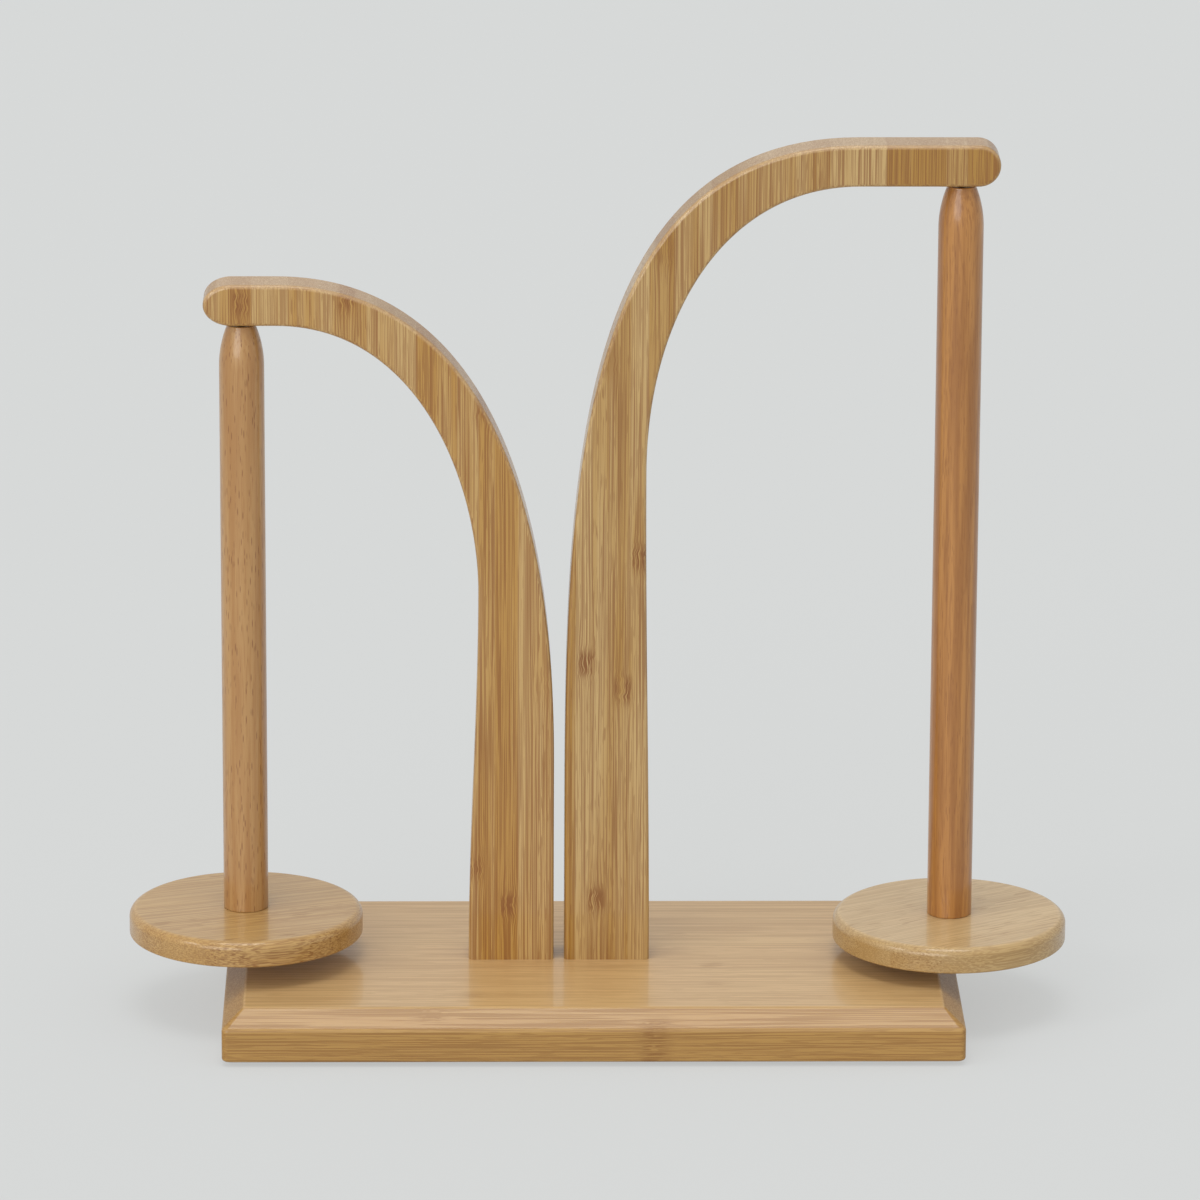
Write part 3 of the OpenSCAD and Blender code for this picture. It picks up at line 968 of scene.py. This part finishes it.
def upright(g):
    """Grain up the piece, with its strips side by side."""
    return *g.split(g.place()), g.split(g.facing())[2]


def lying(turn, centre):
    """Grain along the piece, turned about the upright axis at centre."""
    def grain(g):
        x, y, z = g.split(g.turned(g.place(), turn, centre))
        return y, z, x, g.split(g.turned(g.facing(), turn))[0]
    return grain


def beech(name, ground, streak, fleck, flecks):
    """Beech dowel with soft streaks and the short dark flecks of its rays."""
    g = Graph(name)
    place = g.place()

    def layer(streaks):
        """How strong a layer of streaks is, from 0 to 1."""
        pattern = g.noise(g.stretched(place, streaks.width, streaks.length), streaks.detail)
        return g.ramp(pattern, streaks.start, streaks.full)

    bands = layer(BEECH_BANDS)
    pores = layer(BEECH_PORES)
    inputs = {"Vector": g.stretched(place, RAY_W, RAY_L), "Scale": 1.0, "Randomness": 1.0}
    cells = g.node("ShaderNodeTexVoronoi", inputs).outputs
    rays = g.ramp(cells["Distance"], *RAY_EDGE)
    chosen = g.ramp(g.split(cells["Color"])[0], *RAY_CHANCE)
    rays = g.times(g.times(rays, chosen), flecks)
    colour = g.mix(g.times(bands, BAND_SHARE), ground, streak)
    colour = g.mix(g.times(pores, PORE_SHARE), colour, streak)
    colour = g.mix(rays, colour, fleck)
    return g.finish(
        {
            "Base Color": colour,
            "Roughness": g.ramp(pores, 0.0, 1.0, *BEECH_ROUGHNESS),
            "IOR": 1.45,
            "Coat Weight": 0.6,
            "Coat Roughness": 0.14,
        },
        g.times(pores, -1.0),
        BEECH_BUMP,
    )


def metal(name, colour, tarnish, roughness, scratch):
    """Plated or turned metal, with scratches of the given spacing in millimetres."""
    g = Graph(name)
    place = g.place()
    fine = 1 / (scratch * MM)
    marks = g.noise(g.scaled(place, (fine, fine, SCRATCH_FLATNESS * fine)), detail=3.0)
    stains = g.noise(g.scaled(place, STAIN_SCALE), detail=3.0)
    return g.finish(
        {
            "Base Color": g.mix(g.ramp(stains, *STAIN_EDGE), colour, tarnish),
            "Metallic": 1.0,
            "Roughness": g.ramp(marks, *MARKS, roughness, roughness + SCRATCH_ROUGHNESS),
        },
        marks,
        METAL_BUMP,
    )


def rubber(name, colour, dusty):
    """Matt rubber with a fine grain and some dust."""
    g = Graph(name)
    place = g.place()
    grain = g.noise(g.scaled(place, RUBBER_GRAIN))
    dust = g.noise(g.scaled(place, DUST_SCALE), detail=3.0)
    return g.finish(
        {
            "Base Color": g.mix(g.ramp(dust, *DUST_EDGE), colour, dusty),
            "Roughness": g.ramp(grain, *MARKS, *RUBBER_ROUGHNESS),
        },
        grain,
        RUBBER_BUMP,
    )


def paint(thing, finish):
    """Gives a piece one material in place of any other."""
    thing.data.materials.clear()
    thing.data.materials.append(finish)


def dress(piece, node, body, finish):
    """A finished piece that stands for a node of the frame."""
    smooth(piece)
    paint(piece, finish)
    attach(piece, body)
    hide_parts(node)


def wood_pieces():
    """Base, arms, dowels and trays, built anew in place of their nodes."""
    beeches = {name: beech(f"beech_{name}", **BEECHES[name]) for name in SIDES}
    grain = lying(0, (0, 0, 0))
    finish = bamboo(
        "bamboo_base", grain, SEEDS["base"], BASE_LOOK, KNUCKLES["base"], BANDS["base"],
    )
    dress(base_board(), "base_board", "stand", finish)
    for name in SIDES:
        finish = bamboo(
            f"bamboo_{name}_arm", upright, SEEDS[name],
            ARM_LOOKS[name], KNUCKLES[name], BANDS[name],
        )
        dress(arm(name), f"{name}_arm", "stand", finish)
        dress(dowel(name), f"{name}_dowel", f"{name}_spindle", beeches[name])
        low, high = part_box(f"{name}_tray")
        grain = lying(TRAY_TURNS[name], ((low.x + high.x) / 2, 0, 0))
        finish = bamboo(f"bamboo_{name}_tray", grain, SEEDS[name], TRAY_LOOKS[name])
        dress(tray(name), f"{name}_tray", f"{name}_spindle", finish)


def hardware():
    """Finishes of the pieces that keep the frame's own meshes."""
    for kind, look in METALS.items():
        finish = metal(**look)
        for name in SIDES:
            paint(nodes[f"{name}_{kind}"], finish)
    foot = rubber(**FOOT_RUBBER)
    for node, thing in nodes.items():
        if node.startswith("foot_"):
            paint(thing, foot)


def floor():
    """Pale floor. Seen directly or mirrored it glows a little, which keeps its shadows faint."""
    half = FLOOR_SIZE / 2
    made = Solid()
    corners = [(-half, -half, 0), (half, -half, 0), (half, half, 0), (-half, half, 0)]
    made.faces.append(made.ring(corners))
    ground = made.build("floor")
    g = Graph("floor_paint")
    path = g.node("ShaderNodeLightPath").outputs
    seen = g.most(path["Is Camera Ray"], path["Is Glossy Ray"])
    seen = g.most(seen, path["Is Transmission Ray"])
    lighter = (*(FLOOR_MOTTLE * c for c in FLOOR[:3]), 1)
    colour = g.mix(g.noise(g.place()), FLOOR, lighter)
    matt = g.node("ShaderNodeBsdfDiffuse", {"Color": colour}).outputs[0]
    glow = g.node("ShaderNodeEmission", {"Color": BACKDROP, "Strength": 1.0}).outputs[0]
    share = g.times(seen, FLOOR_GLOW)
    mixed = g.node("ShaderNodeMixShader", {0: share, 1: matt, 2: glow}).outputs[0]
    g.node("ShaderNodeOutputMaterial", {0: mixed})
    ground.data.materials.append(g.material)


def studio():
    """Even sky, soft lamps overhead and at the front left, a small lamp for highlights, and the
    camera."""
    world = bpy.data.worlds.new("sky")
    world.use_nodes = True
    world.node_tree.nodes["Background"].inputs["Color"].default_value = SKY
    bpy.context.scene.world = world

    for name, lamp in LAMPS.items():
        light = bpy.data.lights.new(name, "SUN")
        light.energy = lamp["strength"]
        light.angle = math.radians(lamp["spread"])
        tilt = math.radians(90 - lamp["elevation"])
        holder = bpy.data.objects.new(name, light)
        holder.rotation_euler = (tilt, 0, -math.radians(lamp["azimuth"]))
        bpy.context.scene.collection.objects.link(holder)

    view = bpy.data.cameras.new("camera")
    view.lens = CAMERA_LENS
    view.sensor_width = SENSOR_W
    camera = bpy.data.objects.new("camera", view)
    camera.location = CAMERA_AT
    aim = Euler((math.radians(90) - CAMERA_PITCH, 0, -CAMERA_YAW)).to_matrix()
    camera.rotation_euler = (aim @ Matrix.Rotation(CAMERA_ROLL, 3, "Z")).to_euler()
    bpy.context.scene.collection.objects.link(camera)
    bpy.context.scene.camera = camera
    bpy.context.scene.view_settings.view_transform = "Standard"


wood_pieces()
hardware()
floor()
studio()
